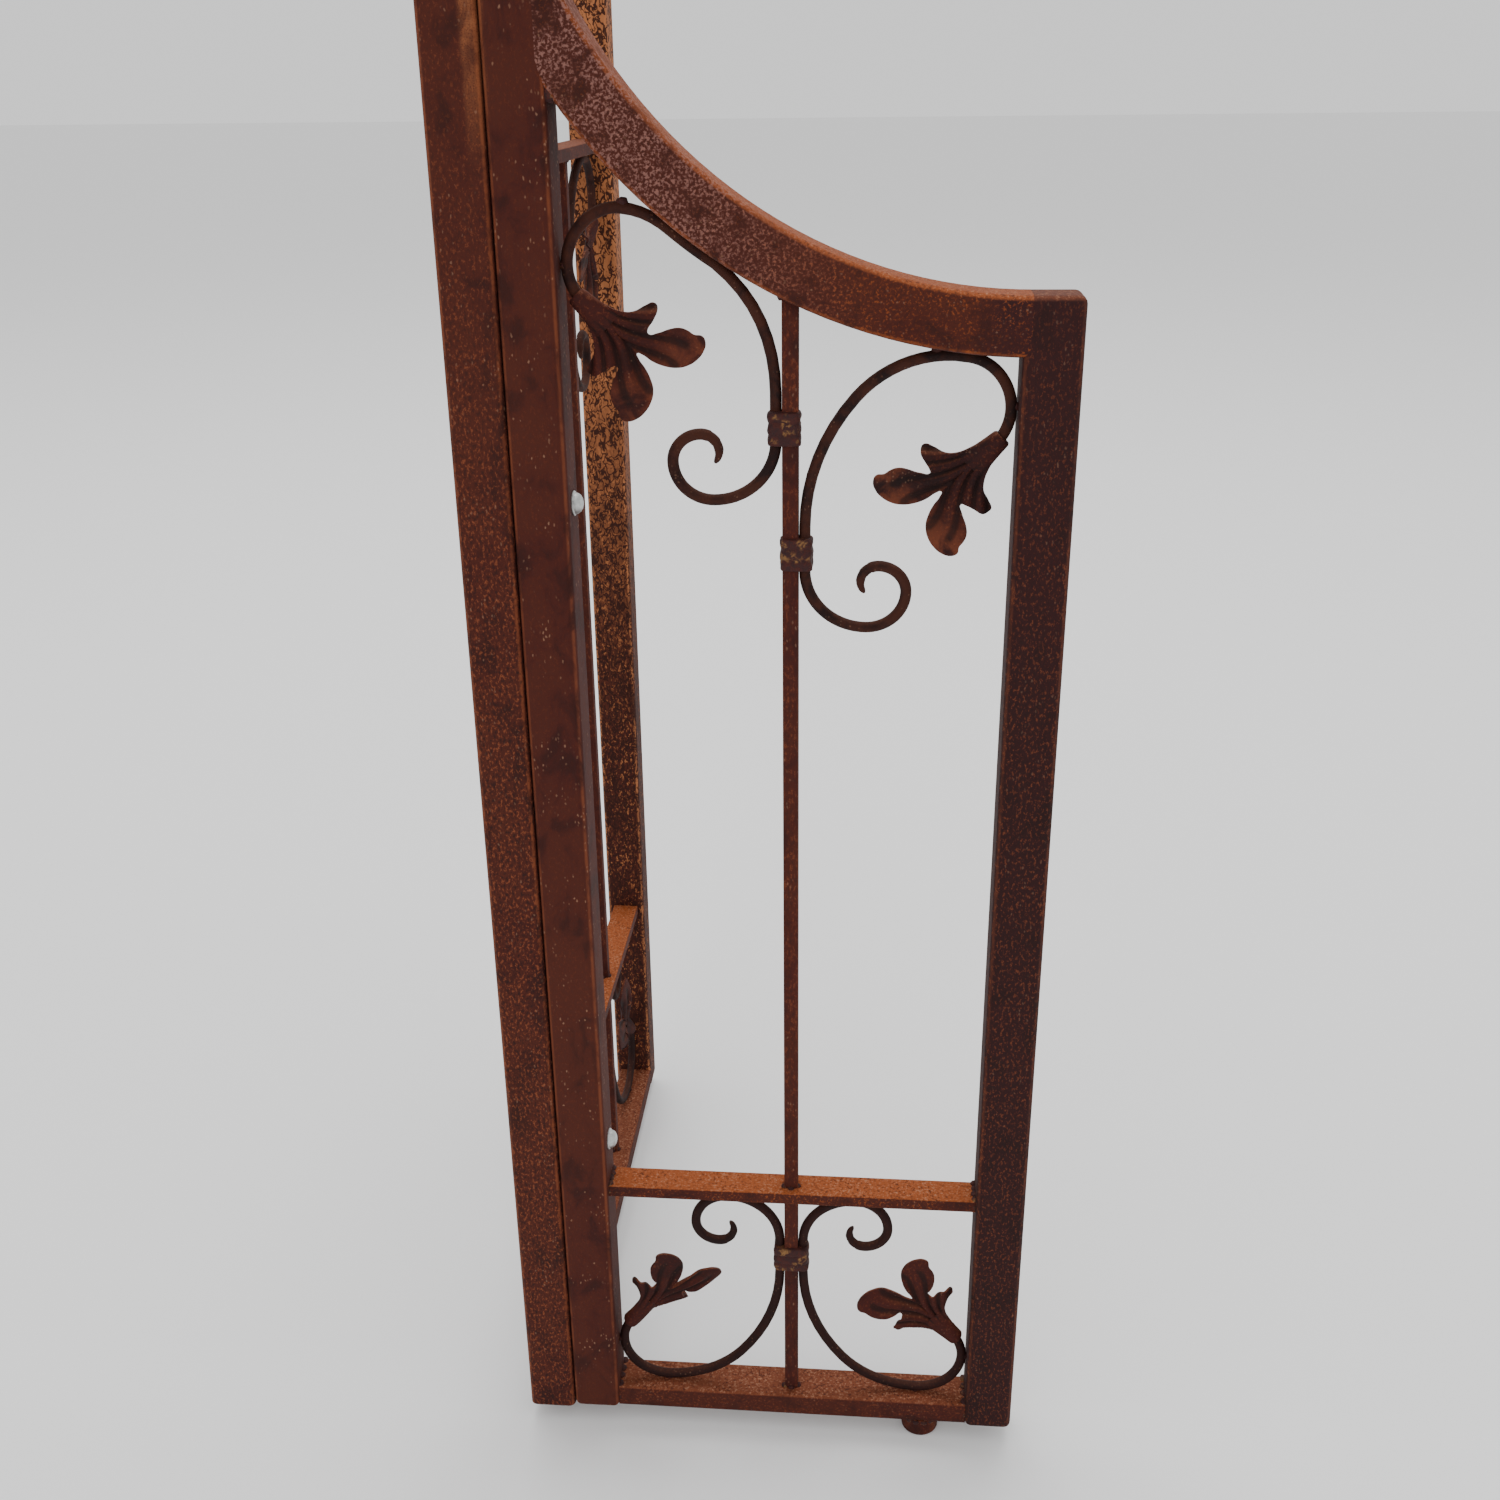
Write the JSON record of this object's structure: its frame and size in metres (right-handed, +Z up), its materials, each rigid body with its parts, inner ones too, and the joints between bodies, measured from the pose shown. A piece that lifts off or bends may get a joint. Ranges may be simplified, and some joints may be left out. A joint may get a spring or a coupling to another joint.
{
  "type": "garden trellis arch",
  "caption": "Free-standing rusted steel garden arch with a round top, scrollwork side frames and a bolted trellis wing on each side.",
  "frame": {"origin": "on the floor under the feet, midway between the legs and between front and rear", "axes": "+Z up, +X across the walkway to the right seen from the front, +Y through the walkway from front to rear"},
  "size_m": [1.8406, 0.4, 2.4228],
  "materials": {
    "rusted_steel": "matte",
    "rusted_scrollwork": "matte",
    "zinc": "satin"
  },
  "bodies": {
    "root": {"cross_bar_1": "rusted_steel", "cross_bar_2": "rusted_steel", "cross_bar_3": "rusted_steel", "cross_bar_4": "rusted_steel", "front_leg_l": "rusted_steel", "front_leg_r": "rusted_steel", "hoop_front": "rusted_steel", "hoop_rear": "rusted_steel", "rear_leg_l": "rusted_steel", "rear_leg_r": "rusted_steel", "side_bottom_rail_l": "rusted_steel", "side_bottom_rail_r": "rusted_steel", "side_mid_rail_l": "rusted_steel", "side_mid_rail_r": "rusted_steel", "side_rod_front_l": "rusted_steel", "side_rod_front_r": "rusted_steel", "side_rod_rear_l": "rusted_steel", "side_rod_rear_r": "rusted_steel", "side_scroll_lower_front_l": "rusted_scrollwork", "side_scroll_lower_front_r": "rusted_scrollwork", "side_scroll_lower_rear_l": "rusted_scrollwork", "side_scroll_lower_rear_r": "rusted_scrollwork", "side_scroll_upper_front_l": "rusted_scrollwork", "side_scroll_upper_front_r": "rusted_scrollwork", "side_scroll_upper_rear_l": "rusted_scrollwork", "side_scroll_upper_rear_r": "rusted_scrollwork", "side_top_rail_l": "rusted_steel", "side_top_rail_r": "rusted_steel", "wing_arc_rail_l": "rusted_steel", "wing_arc_rail_r": "rusted_steel", "wing_bolt_lower_l": "zinc", "wing_bolt_lower_r": "zinc", "wing_bolt_upper_l": "zinc", "wing_bolt_upper_r": "zinc", "wing_bottom_rail_l": "rusted_steel", "wing_bottom_rail_r": "rusted_steel", "wing_collar_lower_l": "rusted_scrollwork", "wing_collar_lower_r": "rusted_scrollwork", "wing_collar_middle_l": "rusted_scrollwork", "wing_collar_middle_r": "rusted_scrollwork", "wing_collar_upper_l": "rusted_scrollwork", "wing_collar_upper_r": "rusted_scrollwork", "wing_foot_l": "rusted_steel", "wing_foot_r": "rusted_steel", "wing_inner_stile_l": "rusted_steel", "wing_inner_stile_r": "rusted_steel", "wing_mid_rail_l": "rusted_steel", "wing_mid_rail_r": "rusted_steel", "wing_outer_stile_l": "rusted_steel", "wing_outer_stile_r": "rusted_steel", "wing_rod_l": "rusted_steel", "wing_rod_r": "rusted_steel", "wing_scroll_lower_inner_l": "rusted_scrollwork", "wing_scroll_lower_inner_r": "rusted_scrollwork", "wing_scroll_lower_outer_l": "rusted_scrollwork", "wing_scroll_lower_outer_r": "rusted_scrollwork", "wing_scroll_upper_inner_l": "rusted_scrollwork", "wing_scroll_upper_inner_r": "rusted_scrollwork", "wing_scroll_upper_outer_l": "rusted_scrollwork", "wing_scroll_upper_outer_r": "rusted_scrollwork"}
  },
  "joints": []
}
